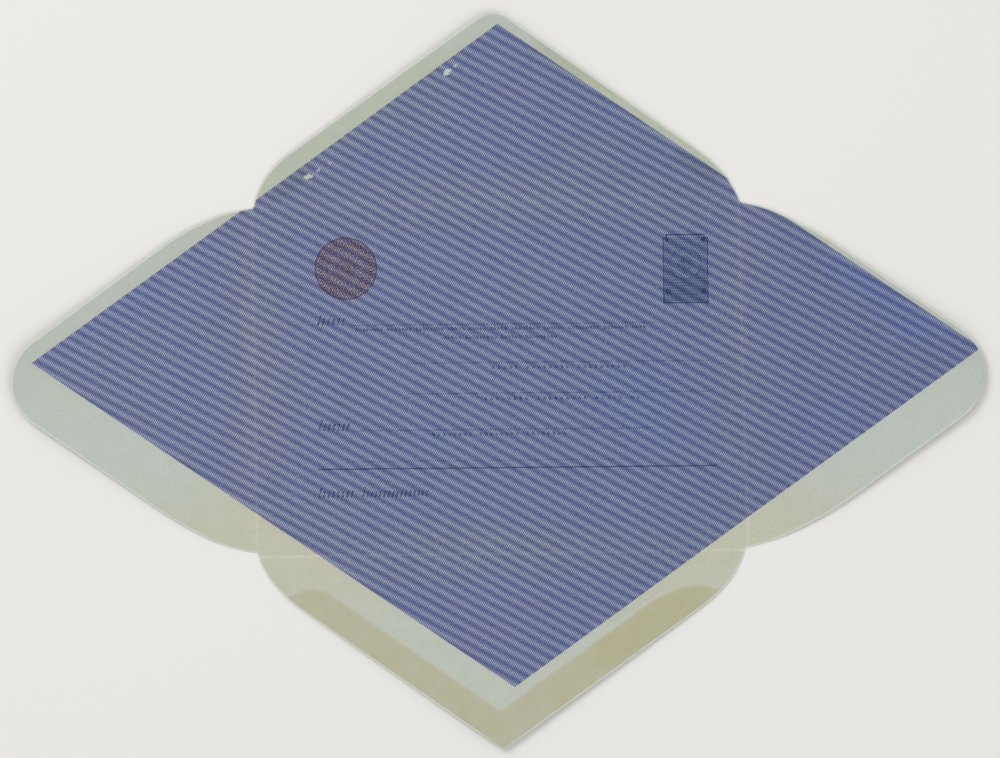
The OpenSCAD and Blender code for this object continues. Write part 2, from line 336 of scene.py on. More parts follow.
class Flap:
    """One flap of the sheet: its outline in its own frame and the way from there to the sheet."""

    def __init__(self, side, sizes):
        """Takes the flap's cut sizes and draws both halves of its outline."""
        reach, tip_r, right_r, left_r, right_notch, left_notch, lean, turn = FLAPS[side]
        w, h = sizes.panel_w * MM, sizes.panel_h * MM
        if side in ("left", "right"):
            w, h = h, w
        self.width, self.crease, self.reach, self.lean = w, h / 2, reach, lean
        self.tip_r, self.notches = tip_r, (right_notch, left_notch)
        self.turn = math.radians(turn)
        right = self.leant(half_flap(w, reach, tip_r, right_r, right_notch))
        left = self.leant(half_flap(w, reach, tip_r, left_r, left_notch) * [-1, 1])
        self.right, self.left = self.from_notch(right, side), self.from_notch(left, side)

    def leant(self, points):
        """Points moved sideways in step with their height over the crease."""
        return points + points_at(points[:, 1] / self.reach * self.lean, 0)

    def to_sheet(self, points):
        """Points moved out to the flap's crease and turned to its side of the panel."""
        return turned(points + [0, self.crease], self.turn)

    def from_sheet(self, points):
        """The way back: points of the sheet in the flap's own frame."""
        return turned(np.asarray(points, float), -self.turn) - [0, self.crease]

    def from_notch(self, half, side):
        """Half outline with its start replaced by the end of the real notch at that corner. It
        goes on from 0.5 mm further up."""
        corner = self.to_sheet(half[:1])[0]
        key = ("right" if corner[0] > 0 else "left", "top" if corner[1] > 0 else "bottom")
        apex, along_long, along_end = NOTCH_ENDS[key]
        end = self.from_sheet((apex,) + (along_long if side in ("top", "bottom") else along_end))
        return np.vstack((end, half[half[:, 1] > end[-1, 1] + 0.5]))


def smooth(t):
    """Smooth step from 0 to 1: three t squared minus two t cubed, held at both ends."""
    t = np.clip(t, 0, 1)
    return t * t * (3 - 2 * t)


def sheet_height(x, y, sizes):
    """Height of the sheet's underside. Past each crease it rises at the tangent of the flap's
    lift, 12 percent more steeply at first, with the bend rounded as half of s plus the root of
    s squared plus one quarter. A sum of four long sine waves lifts it by up to the cockle: each
    has its length, its direction in degrees, its phase and its share of the height."""
    rise = 0
    for across, crease, reach in (
        (x, sizes.panel_w * MM / 2, 76.0),
        (y, sizes.panel_h * MM / 2, 60.5),
    ):
        s = np.abs(across) - crease
        past = (s + np.sqrt(s * s + 0.25)) / 2
        rise = rise + math.tan(sizes.flap_lift) * past * (1 + 0.12 * (1 - past / reach))
    waves = 0
    for wave, direction, phase, share in (
        (88, 20, 0.4, 0.36),
        (61, 105, 2.1, 0.28),
        (47, 62, 4.4, 0.2),
        (36, 150, 1.2, 0.16),
    ):
        a = math.radians(direction)
        run = x * math.cos(a) + y * math.sin(a)
        waves = waves + share * np.sin(2 * math.pi * run / wave + phase)
    return rise + sizes.cockle * MM * (0.5 + 0.5 * waves)


def pressed(x, y, sizes):
    """Depth of the pressed creases: a bell of the distance from the nearest crease."""
    off_end, off_long = np.abs(x) - sizes.panel_w * MM / 2, np.abs(y) - sizes.panel_h * MM / 2
    near = np.minimum(np.abs(off_end), np.abs(off_long))
    return PRESS_DEPTH * np.exp(-((near / PRESS_W) ** 2))


def upper_face(xy, sizes):
    """Height of the sheet's upper face: the underside plus the paper, less the pressed creases."""
    x, y = xy[..., 0], xy[..., 1]
    return sheet_height(x, y, sizes) + sizes.paper_t * MM - pressed(x, y, sizes)


def grid_quads(rows, columns, closed=False):
    """Quads between neighbouring points of a grid whose points are numbered row by row."""
    index = np.arange(rows * columns).reshape(rows, columns)
    if closed:
        index = np.hstack((index, index[:, :1]))
    corners = (index[:-1, :-1], index[:-1, 1:], index[1:, 1:], index[1:, :-1])
    return np.stack(corners, axis=-1).reshape(-1, 4)


def joined(parts):
    """Flat pieces of a net put together: their points and quads, with the numbers moved on."""
    counts = np.cumsum([0] + [len(points) for points, _ in parts])
    points = np.vstack([points for points, _ in parts])
    return points, np.vstack([quads + start for (_, quads), start in zip(parts, counts)])


def face_up(xy, quads):
    """Faces with their corners counter-clockwise: one is turned over if the cross product of its
    diagonals is below zero."""
    diagonals = xy[quads[:, 2:]] - xy[quads[:, :2]]
    area = diagonals[:, 0, 0] * diagonals[:, 1, 1] - diagonals[:, 0, 1] * diagonals[:, 1, 0]
    return np.where(area[:, None] < 0, quads[:, ::-1], quads)


def boundary(xy, quads):
    """Starts and ends of the edges that only one face has."""
    start, end = quads.ravel(), np.roll(quads, -1, axis=1).ravel()
    rim = ~np.isin(start * len(xy) + end, end * len(xy) + start)
    return start[rim], end[rim]


def slab(net, top, under):
    """Closed solid over a flat net: the upper faces at one height, the same faces turned over
    at another, and a wall on each edge that only one face has."""
    xy, quads = net
    quads = face_up(xy, quads)
    count = len(xy)
    a, b = boundary(xy, quads)
    walls = np.column_stack((b, a, a + count, b + count))
    points = np.vstack((np.column_stack((xy, top)), np.column_stack((xy, under))))
    return points, np.vstack((quads, quads[:, ::-1] + count, walls)), len(quads)


def placed(name, data):
    """New object at the origin that shows a mesh, a light or a camera."""
    thing = bpy.data.objects.new(name, data)
    bpy.context.collection.objects.link(thing)
    return thing


def make_piece(name, solid, materials):
    """Piece that rides on the sheet's body, from a slab, with flat walls and smooth faces. A
    second material goes on its back and its walls."""
    points, faces, flat = solid
    mesh = bpy.data.meshes.new(name)
    mesh.from_pydata(points / MM, [], faces)
    for material in materials:
        mesh.materials.append(material)
    is_wall = np.arange(len(faces)) >= 2 * flat
    is_front = np.arange(len(faces)) < flat
    mesh.polygons.foreach_set("use_smooth", ~is_wall)
    if len(materials) > 1:
        mesh.polygons.foreach_set("material_index", (~is_front).astype(np.int32))
    mesh.update()
    piece = placed(name, mesh)
    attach(piece, BODY)
    return piece


def note(mesh, name, values):
    """Writes one number for each point of a slab's upper face, and the same below it."""
    layer = mesh.attributes.new(name, "FLOAT", "POINT")
    layer.data.foreach_set("value", np.tile(values, 2).astype(np.float32))


def crease_line(start, end, crease, axis, share):
    """Points along a crease from one notch to the next: on the crease, except that the last
    stretch at each end turns smoothly to the notch."""
    points = start + (end - start) * share[:, None]
    run = np.linalg.norm(end - start)
    pull = 1 - smooth(np.minimum(share, 1 - share) * run / NOTCH_RUN)
    points[:, axis] = crease + (points[:, axis] - crease) * pull
    return points


def spaced(run, step):
    """Shares along a run, close together at both ends and at most a step apart between."""
    inner = np.linspace(CREASE_STEPS[-1], run - CREASE_STEPS[-1], int(run / step) + 1)
    return np.concatenate((CREASE_STEPS[:-1], inner, (run - CREASE_STEPS[:-1])[::-1])) / run


def panel_net(sides, u, v):
    """Panel between its four creases: each point blends the two creases beside it and the two
    above and below it, less the blend of the corners."""
    bottom, top, left, right = sides
    u, v = u[None, :, None], v[:, None, None]
    across = left[:, None] * (1 - u) + right[:, None] * u
    along = bottom[None] * (1 - v) + top[None] * v
    low, high = (line[0] * (1 - u) + line[-1] * u for line in (bottom, top))
    points = across + along - (low * (1 - v) + high * v)
    return points.reshape(-1, 2), grid_quads(*points.shape[:2])


def length_along(path):
    """Distance from a path's first point to each of its points, measured along it."""
    return np.concatenate(([0], np.cumsum(np.linalg.norm(np.diff(path, axis=0), axis=1))))


def flap_net(flap, crease, u, step, crown):
    """Flap between its crease and its tip: rows run level from the left to the right outline,
    and arch up more and more towards the last row, which is the tip. The crown is the length
    of outline on each side of the tip that this row follows."""
    halves = [(half, length_along(half)) for half in (flap.left, flap.right)]
    top = min(np.interp(run[-1] - crown, run, half[:, 1]) for half, run in halves)
    (left, _), (right, run) = halves
    stop = run[-1] - crown
    low = CREASE_STEPS[1:]
    share = np.linspace(np.interp(low[-1], right[:, 1], run), stop, int(stop / step))[1:]
    high = np.interp(share, run, right[:, 1]) * top / np.interp(stop, run, right[:, 1])
    heights = np.concatenate((low, high))[:, None]
    start, end = (np.interp(heights, half[:, 1], half[:, 0]) for half in (left, right))
    rows = np.stack(np.broadcast_arrays(start * (1 - u) + end * u, heights), axis=-1)
    cap_left, cap_right = left[left[:, 1] > top], right[right[:, 1] > top]
    cap = np.vstack((rows[-1, :1], cap_left, cap_right[::-1][1:], rows[-1, -1:]))
    share = length_along(cap)
    share /= share[-1]
    crown_row = points_at(np.interp(u, share, cap[:, 0]), np.interp(u, share, cap[:, 1]))
    # The rows are level for the first 8 mm
    arch = smooth((heights - 8) / (top - 8))
    rows = rows + arch[..., None] * (crown_row - rows[-1])
    points = np.concatenate((flap.from_sheet(crease)[None], rows))
    return flap.to_sheet(points.reshape(-1, 2)), grid_quads(*points.shape[:2])


def welded(net):
    """Net whose points that lie on each other are made one."""
    points, quads = net
    _, first, again = np.unique(np.round(points, 4), axis=0, return_index=True, return_inverse=True)
    return points[first], again.reshape(-1)[quads]


def sheet_net(sizes):
    """The whole sheet as one net: the panel and the four flaps, joined along the creases."""
    w, h, step = sizes.panel_w * MM, sizes.panel_h * MM, sizes.grid * MM
    u, v = spaced(w, step), spaced(h, step)
    flaps = {side: Flap(side, sizes) for side in FLAPS}
    apex = {key: np.array(ends[0]) for key, ends in NOTCH_ENDS.items()}
    lines = {}
    for side, place in (("bottom", -h / 2), ("top", h / 2)):
        lines[side] = crease_line(apex["left", side], apex["right", side], place, 1, u)
    for side, place in (("left", -w / 2), ("right", w / 2)):
        lines[side] = crease_line(apex[side, "bottom"], apex[side, "top"], place, 0, v)
    parts = [panel_net(lines.values(), u, v)]
    for side, flap in flaps.items():
        is_long = side in ("top", "bottom")
        line, share = lines[side], u if is_long else v
        # Seen with its tip up, the crease of the bottom and of the right flap runs backwards
        if side in ("bottom", "right"):
            line, share = line[::-1], 1 - share[::-1]
        parts.append(flap_net(flap, line, share, step, 9 if is_long else 12))
    return welded(joined(parts)), flaps


def distance_to_lines(points, start, end):
    """Distance from each point to the nearest of some straight lines."""
    chord = end - start
    squared = np.sum(chord * chord, axis=1) + 1e-12
    nearest = []
    for block in np.array_split(points, len(points) // 4000 + 1):
        t = np.sum((block[:, None] - start) * chord, axis=2) / squared
        foot = start + np.clip(t, 0, 1)[..., None] * chord
        nearest.append(np.min(np.linalg.norm(block[:, None] - foot, axis=2), axis=1))
    return np.concatenate(nearest)


def distance_to_outline(points, flaps):
    """Distance from each point to the cut edge of some flaps."""
    lines = [flap.to_sheet(half) for flap in flaps.values() for half in (flap.left, flap.right)]
    starts = np.vstack([line[:-1] for line in lines])
    return distance_to_lines(points, starts, np.vstack([line[1:] for line in lines]))


def strips(centres, half_widths, closed=False):
    """Ribbons along paths: each point of a path is moved both ways along the path's normal,
    which is square to the difference of its neighbours."""
    if closed:
        ahead, behind = np.roll(centres, -1, axis=1), np.roll(centres, 1, axis=1)
        run = ahead - behind
    else:
        run = np.gradient(centres, axis=1)
    normal = np.stack((-run[..., 1], run[..., 0]), axis=-1)
    normal /= np.linalg.norm(normal, axis=-1, keepdims=True)
    offset = normal * np.broadcast_to(half_widths, centres.shape[:2])[..., None]
    points = np.stack((centres - offset, centres + offset), axis=1)
    count, _, run_length, _ = points.shape
    quads = grid_quads(2, run_length, closed)
    starts = np.arange(count)[:, None, None] * 2 * run_length
    return points.reshape(-1, 2), (quads[None] + starts).reshape(-1, 4)


def bars(starts, ends, widths):
    """Straight bars, each from a start to an end with square ends and a width of its own or
    the one that all share."""
    centres = np.stack((np.asarray(starts, float), np.asarray(ends, float)), axis=1)
    return strips(centres, np.asarray(widths, float)[..., None] / 2)


def dots(centres, radii):
    """Eight-sided dots: a ring of eight points round each centre, filled by three quads."""
    ring = circle((np.arange(8) + 0.5) * math.pi / 4)
    points = centres[:, None] + np.asarray(radii)[:, None, None] * ring
    fill = np.array([[0, 1, 2, 3], [0, 3, 4, 7], [4, 5, 6, 7]])
    quads = np.arange(len(centres))[:, None, None] * 8 + fill
    return points.reshape(-1, 2), quads.reshape(-1, 4)


def inked(name, parts, material, sizes, centre=(0, 0), over=0):
    """Coat of ink: a thin slab over its flat parts, rooted in the paper's upper face. One that
    is printed over another coat stands a little higher."""
    points, quads = joined(parts)
    points = turned(points + centre, PRINT_TURN)
    paper = upper_face(points, sizes)
    solid = slab((points, quads), paper + sizes.ink_t * MM + over, paper - ROOT)
    make_piece(name, solid, [material])


# Noise of the pulp, cloudy at 6 mm and flecked at 0.7 mm: its scale, detail and roughness
CLOUDS, FLECKS = (0.16, 4, 0.6), (1.4, 3, 0.7)
# What the words after a node's kind set
MODES = {
    "Math": ["operation"],
    "VectorMath": ["operation"],
    "MapRange": ["interpolation_type"],
    "Mapping": ["vector_type"],
    "Mix": ["data_type", "blend_type"],
}


def add_node(tree, kind, *values, **settings):
    """Adds a shader node. The words after its kind are its modes. Settings are its properties,
    or its sockets by name without spaces, and values fill its sockets in order. A node given as
    a value stands for its first output, and a colour is made opaque."""
    kind, *modes = kind.split()
    node = tree.nodes.new("ShaderNode" + kind)
    node.location = (len(tree.nodes) // 6 * 190, -len(tree.nodes) % 6 * 220)
    settings.update(zip(MODES.get(kind, ()), modes))
    for key in [key for key in settings if hasattr(node, key)]:
        setattr(node, key, settings.pop(key))
    sockets = [socket for socket in node.inputs if socket.enabled]
    named = {socket.name.replace(" ", ""): socket for socket in reversed(sockets)}
    filled = list(zip(sockets, values)) + [(named[key], settings[key]) for key in settings]
    for socket, value in filled:
        if isinstance(value, bpy.types.Node):
            value = next(output for output in value.outputs if output.enabled)
        if isinstance(value, bpy.types.NodeSocket):
            tree.links.new(value, socket)
        else:
            socket.default_value = (*value, 1) if socket.type == "RGBA" else value
    return node


def new_material(name):
    """Empty material, the function that adds a node to it, and its Object coordinates in
    millimetres."""
    material = bpy.data.materials.new(name)
    material.use_nodes = True
    material.node_tree.nodes.clear()
    add = partial(add_node, material.node_tree)
    place = add("Mapping", add("TexCoord").outputs["Object"], Scale=(MM, MM, MM))
    return material, add, place


def patches(add, place, noise, middle, ends):
    """Patchy number: noise of a scale, detail and roughness, whose middle range is stretched to
    run between two ends."""
    scale, detail, roughness = noise
    noise = add("TexNoise", Vector=place, Scale=scale, Detail=detail, Roughness=roughness)
    return add("MapRange", noise, *middle, *ends)


def tint_lines(add, place, sizes):
    """Share of ink of the tint: in each family the phase is the place along the family's normal
    over the pitch, the ink lies round its half turns with a soft edge, and the families unite."""
    # Letterpress lines waver a little with the paper's surface
    waver = patches(add, place, (0.6, 2, 0.5), (0, 1), (-0.06, 0.06))
    pitch = sizes.tint_pitch * MM
    inks = []
    for direction, phase in TINT_FAMILIES:
        a = math.radians(direction - 90)
        normal = (math.cos(a) / pitch, math.sin(a) / pitch, 0)
        turns = add("Math ADD", add("VectorMath DOT_PRODUCT", place, normal), phase)
        away = add("Math PINGPONG", add("Math ADD", turns, waver), 0.5)
        inks.append(add("MapRange", away, 0.2, 0.3))
    return add("Math MAXIMUM", *inks)


def diamond_depth(add, place):
    """Depth inside the tinted diamond: the least of the distances from its four sides, made a
    little ragged."""
    depths = []
    for (x0, y0), (x1, y1) in zip(DIAMOND, DIAMOND[1:] + DIAMOND[:1]):
        side = math.hypot(x1 - x0, y1 - y0)
        inward = ((y1 - y0) / side, (x0 - x1) / side, 0)
        along = add("VectorMath DOT_PRODUCT", place, inward)
        depths.append(add("Math SUBTRACT", along, x0 * inward[0] + y0 * inward[1]))
    ragged = patches(add, place, (2.2, 2, 0.5), (0, 1), (-0.15, 0.15))
    return add("Math ADD", reduce(partial(add, "Math MINIMUM"), depths), ragged)


def is_tinted(add, depth):
    """1 inside the tinted diamond and 0 outside, with a steep edge."""
    return add("MapRange", depth, -0.06, 0.14)


def spots(add, place, marks, ragged, scale=0.9, core=0.75):
    """Strongest of some ragged oval spots: full up to the core of each oval and gone 0.4 of its
    size further out, or at its rim if the core is small. A mark is x, y, half width, half
    height, turn and strength, and noise shifts the place by up to half of ragged."""
    shift = add("TexNoise", Vector=place, Scale=scale, Detail=4, Roughness=0.7)
    shift = add("VectorMath SUBTRACT", shift.outputs["Color"], (0.5, 0.5, 0.5))
    shift = add("VectorMath SCALE", shift, Scale=ragged)
    ragged_place = add("VectorMath ADD", place, shift)
    rim = max(core + 0.4, 1)
    ovals = []
    for x, y, rx, ry, turn, strength in marks:
        # Very deep, so that the height of a point doesn't count
        turn, size = (0, 0, math.radians(turn)), (rx, ry, 1e6)
        away = add("VectorMath LENGTH", add("Mapping TEXTURE", ragged_place, (x, y, 0), turn, size))
        ovals.append(add("MapRange SMOOTHSTEP", away, core, rim, strength, 0))
    return reduce(partial(add, "Math MAXIMUM"), ovals)


def shaded(add, face, share, shade):
    """Colour multiplied by a shade, as far as a share between 0 and 1 says."""
    shade = add("Mix RGBA", share, (1, 1, 1), shade)
    return add("Mix RGBA MULTIPLY", 1, face, shade)


def crease_values(add, place, sizes):
    """Place across and up the sheet, distance from the nearest crease, toning that is strongest
    5 mm from it, and wear within 0.8 mm of the worn lines. Noise makes the last two patchy."""
    axes = add("SeparateXYZ", place)
    x, y = axes.outputs["X"], axes.outputs["Y"]
    off = []
    for axis, panel in ((x, sizes.panel_w), (y, sizes.panel_h)):
        past = add("Math SUBTRACT", add("Math ABSOLUTE", axis), panel * MM / 2)
        off.append(add("Math ABSOLUTE", past))
    near = add("Math MINIMUM", *off)
    toned = add("MapRange SMOOTHSTEP", near, 5, 11, 1, 0)
    toned = add("Math MULTIPLY", toned, add("MapRange SMOOTHSTEP", near, 0, 4, 0.65, 1))
    patchy = patches(add, place, CLOUDS, (0.3, 0.7), (0.6, 1.2))
    toned = add("Math MULTIPLY", toned, patchy)
    lines = []
    for name, middle, slope, strength in WORN_LINES:
        along, across = (x, y) if name == "X" else (y, x)
        off = add("Math ADD", along, add("Math MULTIPLY_ADD", across, -slope, -middle))
        off = add("Math ABSOLUTE", off)
        lines.append(add("MapRange SMOOTHSTEP", off, 0.05, 0.8, strength, 0))
    worn = reduce(partial(add, "Math MAXIMUM"), lines)
    rub = patches(add, place, (0.8, 4, 0.8), (0.38, 0.62), (0.25, 1.2))
    return x, y, near, toned, add("Math MULTIPLY", worn, rub)


def bare_paper(add, place, colours, creases):
    """Colour of the paper without print: cool in the lower margins, duller in the upper ones,
    grey-green on the top flap, warm beside the creases and pale along them."""
    _, y, near, _, worn = creases
    upper = add("MapRange SMOOTHSTEP", y, -20, 20)
    bare = add("Mix RGBA", upper, colours.paper, colours.paper_dull)
    # The top flap is greyer, except at its tip
    top = [add("MapRange SMOOTHSTEP", y, *ends) for ends in ((44, 58), (112, 98))]
    bare = add("Mix RGBA", add("Math MULTIPLY", *top), bare, colours.paper_grey)
    # Cloudy between a yellower and a greyer shade
    cloud = patches(add, place, (0.3, 4, 0.65), (0.38, 0.62), (0, 1))
    bare = shaded(add, bare, cloud, (1.0, 1.0, 0.965))
    # Toned paper beside the lower creases, and a little over the whole bottom flap
    warm = add("MapRange SMOOTHSTEP", near, 2, 32, 1, 0)
    warm = add("Math MULTIPLY", warm, add("MapRange SMOOTHSTEP", y, 20, -20, 0.1, 1))
    warm = add("Math MAXIMUM", warm, add("MapRange SMOOTHSTEP", y, -54, -58, 0, 0.35))
    bare = add("Mix RGBA", warm, bare, colours.paper_warm)
    return add("Mix RGBA", add("Math MULTIPLY", worn, 0.8), bare, colours.worn)


def tinted_paper(add, place, sizes, colours, creases):
    """Colour of the paper under the line tint, with ink whose density varies a little."""
    x, _, _, toned, worn = creases
    density = patches(add, place, (2.2, 3, 0.75), (0.32, 0.68), (0.76, 1.24))
    lines = add("Math MULTIPLY", tint_lines(add, place, sizes), density)
    tint = add("Mix RGBA", lines, colours.tint_gap, colours.tint_ink)
    # Cloudy between an olive and a violet shade, 2 mm across
    cloud = patches(add, place, (0.45, 3, 0.7), (0.36, 0.64), (0, 1))
    for share, shade in (
        # Paler and redder to the left, and darker to the right
        (add("MapRange", x, 20, -140), (1.09, 1.03, 1.0)),
        (add("MapRange", x, 0, 150), (0.93, 0.9, 0.93)),
        (spots(add, place, OLIVE_ZONES, 16, 0.05, 0.1), (1.09, 1.08, 0.94)),
        (spots(add, place, BLUE_ZONES, 16, 0.05, 0.1), (0.93, 0.98, 1.09)),
        (spots(add, place, VIOLET_ZONES, 16, 0.05, 0.1), (1.08, 0.96, 1.0)),
        (toned, (1.05, 1.02, 0.975)),
        (spots(add, place, PALE_BANDS, 3, 0.2, 0.4), (1.085, 1.055, 1.0)),
        (cloud, (1.04, 0.98, 1.03)),
        (1, (0.98, 1.01, 0.985)),
    ):
        tint = shaded(add, tint, share, shade)
    # The ink is rubbed off along the folds, most of all on the bottom crease
    return add("Mix RGBA", add("Math MULTIPLY", worn, 0.085), tint, colours.worn)


def printed_face(sizes, colours):
    """Uncoated envelope paper, printed face: matt, slightly mottled wood-pulp paper with the
    blue line tint. It gives the eye a cool grey-green margin, warm toning along the creases,
    pale worn crease lines, a few scuffs and stains, and a highlight painted along the cut edge."""
    material, add, place = new_material("uncoated envelope paper, printed face")
    creases = crease_values(add, place, sizes)
    bare = bare_paper(add, place, colours, creases)
    tint = tinted_paper(add, place, sizes, colours, creases)
    depth = diamond_depth(add, place)
    # The bare paper is a little yellower for 2 mm round the tint
    bare = shaded(add, bare, add("MapRange SMOOTHSTEP", depth, -2.2, -0.9), (1.0, 0.99, 0.965))
    face = add("Mix RGBA", is_tinted(add, depth), bare, tint)

    # Scuffs to white paper, and brown stains
    scuffs = spots(add, place, SCUFFS, 3.2, 1.1, 0.6)
    face = add("Mix RGBA", scuffs, face, colours.scuff)
    face = shaded(add, face, spots(add, place, STAINS, 5), (0.84, 0.86, 0.75))

    # Mottle of the pulp, and a highlight painted along the cut edge
    mottle = patches(add, place, CLOUDS, (0.3, 0.7), (0.98, 1.02))
    speck = patches(add, place, FLECKS, (0.3, 0.7), (0.94, 1.06))
    face = add("Mix RGBA MULTIPLY", 1, face, add("Math MULTIPLY", mottle, speck))
    cut = add("Attribute", attribute_name="cut_distance", attribute_type="GEOMETRY")
    cut = add("MapRange", cut.outputs["Fac"], 0.12, 0.45, 0.85, 0)
    face = add("Mix RGBA", cut, face, colours.cut)

    finish_paper(add, place, face)
    return material


def finish_paper(add, place, face):
    """Matt finish of uncoated paper, with the tooth of its fibres as bump."""
    # Real fibres are 0.03 mm wide; they are drawn 0.25 mm wide so that they show
    fibres = add("TexNoise", Vector=place, Scale=4, Detail=3, Roughness=0.8, Distortion=1.5)
    bump = add("Bump", Strength=0.25, Distance=0.00004, Height=fibres)
    rough = patches(add, place, FLECKS, (0.3, 0.7), (0.8, 0.92))
    finish(add, face, rough, SpecularIORLevel=0.2, Normal=bump)


def finish(add, face, rough, **settings):
    """Ends a material: one principled surface with its colour and roughness."""
    add("OutputMaterial", add("BsdfPrincipled", BaseColor=face, Roughness=rough, **settings))


def plain_back(colours):
    """Uncoated envelope paper, back: the same pulp without print. It gives the eye an even
    grey-green with the tint just showing through as a cooler diamond."""
    material, add, place = new_material("uncoated envelope paper, back")
    through = add("Math MULTIPLY", is_tinted(add, diamond_depth(add, place)), 0.12)
    face = add("Mix RGBA", through, colours.back, colours.tint_ink)
    mottle = patches(add, place, CLOUDS, (0.3, 0.7), (0.97, 1.03))
    finish_paper(add, place, add("Mix RGBA MULTIPLY", 1, face, mottle))
    return material


def dried_gum(sizes, colours):
    """Dried gum arabic: thin, brushed on and yellowed. It gives the eye a tan band, cloudy and
    with a faint gloss, whose soft edge soaks into the paper."""
    material, add, place = new_material("dried gum arabic, yellowed")
    cloud = add("TexNoise", Vector=place, Scale=0.22, Detail=5, Roughness=0.65)
    fleck = add("TexNoise", Vector=place, Scale=1.6, Detail=3, Roughness=0.7)
    deep = tuple(c * f for c, f in zip(colours.gum, (0.98, 0.95, 0.87)))
    face = add("Mix RGBA", add("MapRange", cloud, 0.38, 0.62), colours.gum, deep)
    face = add("Mix RGBA MULTIPLY", 1, face, add("MapRange", fleck, 0.3, 0.7, 0.96, 1.04))
    face = shaded(add, face, spots(add, place, DEEP_GUM, 6, 0.2), (0.965, 0.955, 0.87))
    bare = bare_paper(add, place, colours, crease_values(add, place, sizes))
    border = add("Attribute", attribute_name="gum_border", attribute_type="GEOMETRY")
    ragged = add("MapRange", fleck, 0.3, 0.7, -0.4, 0.4)
    soaked = add("Math ADD", border.outputs["Fac"], ragged)
    face = add("Mix RGBA", add("MapRange SMOOTHSTEP", soaked, 0.1, 1.9), bare, face)
    bump = add("Bump", Strength=0.2, Distance=0.00005, Height=fleck)
    rough = add("MapRange", cloud, 0.3, 0.7, 0.5, 0.68)
    finish(add, face, rough, SpecularIORLevel=0.35, Normal=bump)
    return material


def letterpress_ink(shade, ink, sizes, colours):
    """Letterpress ink on uncoated paper: thin, matt and transparent, so that it multiplies the
    tint below it. It gives the eye a colour that is dense where the paper took the ink and
    paler where its tooth did not. Pieces printed with the same ink share it."""
    name = "letterpress ink, " + shade
    if name in bpy.data.materials:
        return bpy.data.materials[name]
    material, add, place = new_material(name)
    below = tinted_paper(add, place, sizes, colours, crease_values(add, place, sizes))
    grain = add("TexNoise", Vector=place, Scale=2.6, Detail=3, Roughness=0.7)
    face = shaded(add, below, add("MapRange", grain, 0.42, 0.7, 1, 0.6), ink)
    rough = add("MapRange", grain, 0.3, 0.7, 0.65, 0.85)
    finish(add, face, rough, SpecularIORLevel=0.25)
    return material


def chosen(context):
    """The sizes and the colours that are set in the panel."""
    return context.scene.envelope_sizes, context.scene.envelope_colours


class ENVELOPE_OT_sheet(bpy.types.Operator):
    """Build the sheet: the panel and its four flaps as one closed sheet of paper"""

    bl_idname = "envelope.sheet"
    bl_label = "Build Sheet"

    def execute(self, context):
        sizes, colours = chosen(context)
        (points, quads), flaps = sheet_net(sizes)
        under = sheet_height(points[:, 0], points[:, 1], sizes)
        solid = slab((points, quads), upper_face(points, sizes), under)
        materials = [printed_face(sizes, colours), plain_back(colours)]
        piece = make_piece("paper_sheet", solid, materials)
        note(piece.data, "cut_distance", distance_to_outline(points, flaps))
        self.unwrap(piece.data, len(points))
        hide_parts(SHEET_NODE)
        return {"FINISHED"}

    @staticmethod
    def unwrap(mesh, count):
        """UV map seen from above: the face fills the width of the square, and the back lies
        over it, squeezed to a strip. The first points, as many as the count, are the face's."""
        place = np.empty(len(mesh.vertices) * 3, np.float32)
        mesh.vertices.foreach_get("co", place)
        place = place.reshape(-1, 3)[:, :2] * MM
        margin, gap, end = 1.5, 0.01, 0.985
        low, high = place.min(axis=0) - margin, place.max(axis=0) + margin
        uv = (place - low) / (high[0] - low[0])
        back = np.arange(len(uv)) >= count
        top = (high[1] - low[1]) / (high[0] - low[0])
        uv[back, 1] = top + gap + uv[back, 1] / top * (end - top)
        corners = np.empty(len(mesh.loops), np.int32)
        mesh.loops.foreach_get("vertex_index", corners)
        layer = mesh.uv_layers.new(name="OFBake")
        layer.data.foreach_set("uv", uv[corners].astype(np.float32).ravel())


